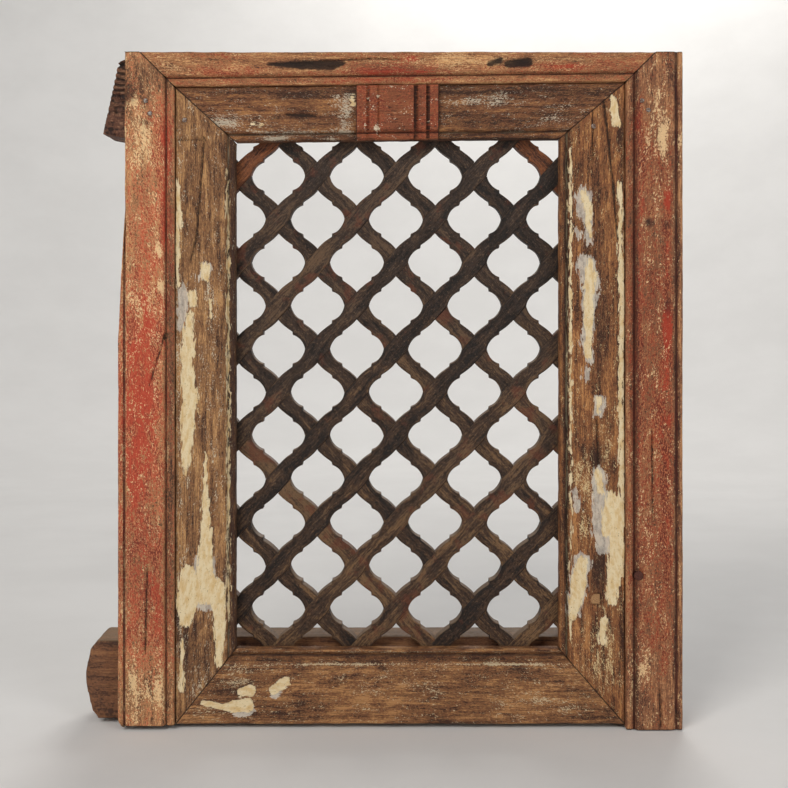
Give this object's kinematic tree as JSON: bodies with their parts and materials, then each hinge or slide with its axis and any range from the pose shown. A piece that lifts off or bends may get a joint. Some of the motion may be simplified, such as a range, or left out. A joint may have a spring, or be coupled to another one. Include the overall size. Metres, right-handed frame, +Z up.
{
  "type": "wooden jali panel",
  "caption": "Weathered carved wooden window panel: an open lattice of cross-halved scalloped slats in a mitred moulded frame with horned head and sill.",
  "frame": {"origin": "on the flat back face of the head, at the middle of the opening's width and of the head's height, where the panel is fixed to a wall", "axes": "+Z up the panel's height, +Y out of its back into the wall, +X to the right seen from the front; the front faces -Y"},
  "size_m": [0.8055, 0.1159, 0.9055],
  "materials": {
    "red_paint": "worn orange-red paint over cream and bare wood",
    "worn_wood": "weathered brown wood with flakes of cream and grey paint",
    "lattice_wood": "dark aged wood, lighter towards the foot",
    "replacement_slats": "orange-brown newer wood",
    "beam_wood": "rough dark red-brown wood",
    "dark_peg": "dark end grain",
    "iron_nails": "dull wrought iron"
  },
  "bodies": {
    "root": {"centre_block": "red_paint", "head_beam": "beam_wood", "inner_bottom_rail": "worn_wood", "inner_left_stile": "worn_wood", "inner_right_stile": "worn_wood", "inner_top_rail": "worn_wood", "left_jamb": "beam_wood", "nail_left_casing_lower": "iron_nails", "nail_left_casing_upper": "iron_nails", "nail_left_lining": "iron_nails", "nail_right_casing_lower": "iron_nails", "nail_right_casing_upper": "iron_nails", "nail_right_lining": "iron_nails", "outer_left_stile": "red_paint", "outer_right_stile": "red_paint", "outer_top_rail": "red_paint", "right_jamb": "beam_wood", "round_peg": "dark_peg", "sill_beam": "beam_wood", "slat_climbing_01": "replacement_slats", "slat_climbing_02": "lattice_wood", "slat_climbing_03": "lattice_wood", "slat_climbing_04": "lattice_wood", "slat_climbing_05": "lattice_wood", "slat_climbing_06": "lattice_wood", "slat_climbing_07": "lattice_wood", "slat_climbing_08": "lattice_wood", "slat_climbing_09": "lattice_wood", "slat_climbing_10": "lattice_wood", "slat_falling_01": "replacement_slats", "slat_falling_02": "lattice_wood", "slat_falling_03": "lattice_wood", "slat_falling_04": "lattice_wood", "slat_falling_05": "lattice_wood", "slat_falling_06": "lattice_wood", "slat_falling_07": "lattice_wood", "slat_falling_08": "lattice_wood", "slat_falling_09": "lattice_wood", "slat_falling_10": "lattice_wood", "square_peg": "worn_wood"}
  },
  "joints": []
}
